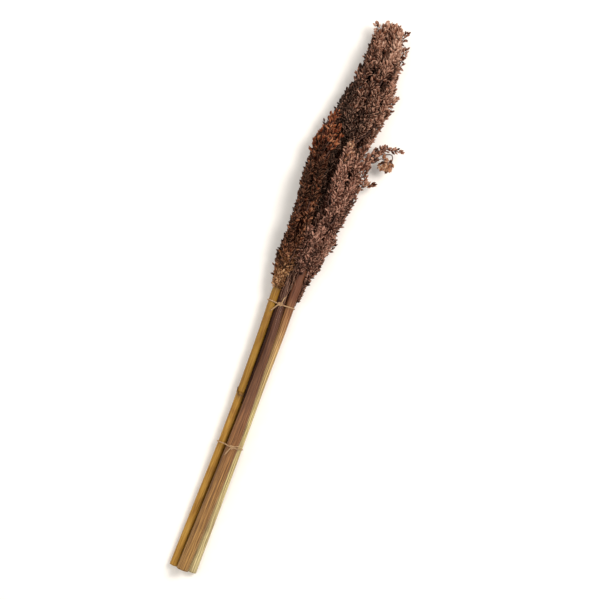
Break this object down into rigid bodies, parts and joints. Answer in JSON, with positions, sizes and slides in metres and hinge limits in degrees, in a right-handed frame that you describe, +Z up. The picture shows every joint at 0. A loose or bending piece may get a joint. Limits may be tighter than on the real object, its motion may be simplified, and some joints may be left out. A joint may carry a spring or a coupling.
{
  "type": "tied bunch of dried sorghum seed heads",
  "caption": "Tied bunch of dried sorghum lying down: seed heads pressed together on cut stalks, rolled leaf sheaths and turns of twine with knots.",
  "frame": {"origin": "on the surface that the bunch lies on, under the middle of its box", "axes": "+Y along the bunch, from the cut ends to the tips of the heads; +Z up from the surface; the loose branches stand out towards +X"},
  "size_m": [0.0872, 0.6196, 0.0367],
  "materials": {
    "stalk_golden": "dry waxy stalk",
    "stalk_mauve": "dry streaked stalk",
    "stalk_straw": "dry waxy stalk",
    "leaf_sheath": "dry ribbed leaf",
    "head_dark": "dry husked grains",
    "head_brown": "dry husked grains",
    "head_mauve": "dry husked grains",
    "twine": "twisted straw-coloured fibre"
  },
  "bodies": {
    "root": {"stalk_left": "stalk_golden", "stalk_middle": "stalk_mauve", "stalk_right": "stalk_straw", "leaf_sheath_upper": "leaf_sheath", "leaf_sheath_lower": "leaf_sheath", "seed_head_left": "head_dark", "seed_head_long": "head_brown", "seed_head_right": "head_mauve", "tie_upper": "twine", "tie_lower": "twine"}
  },
  "joints": []
}
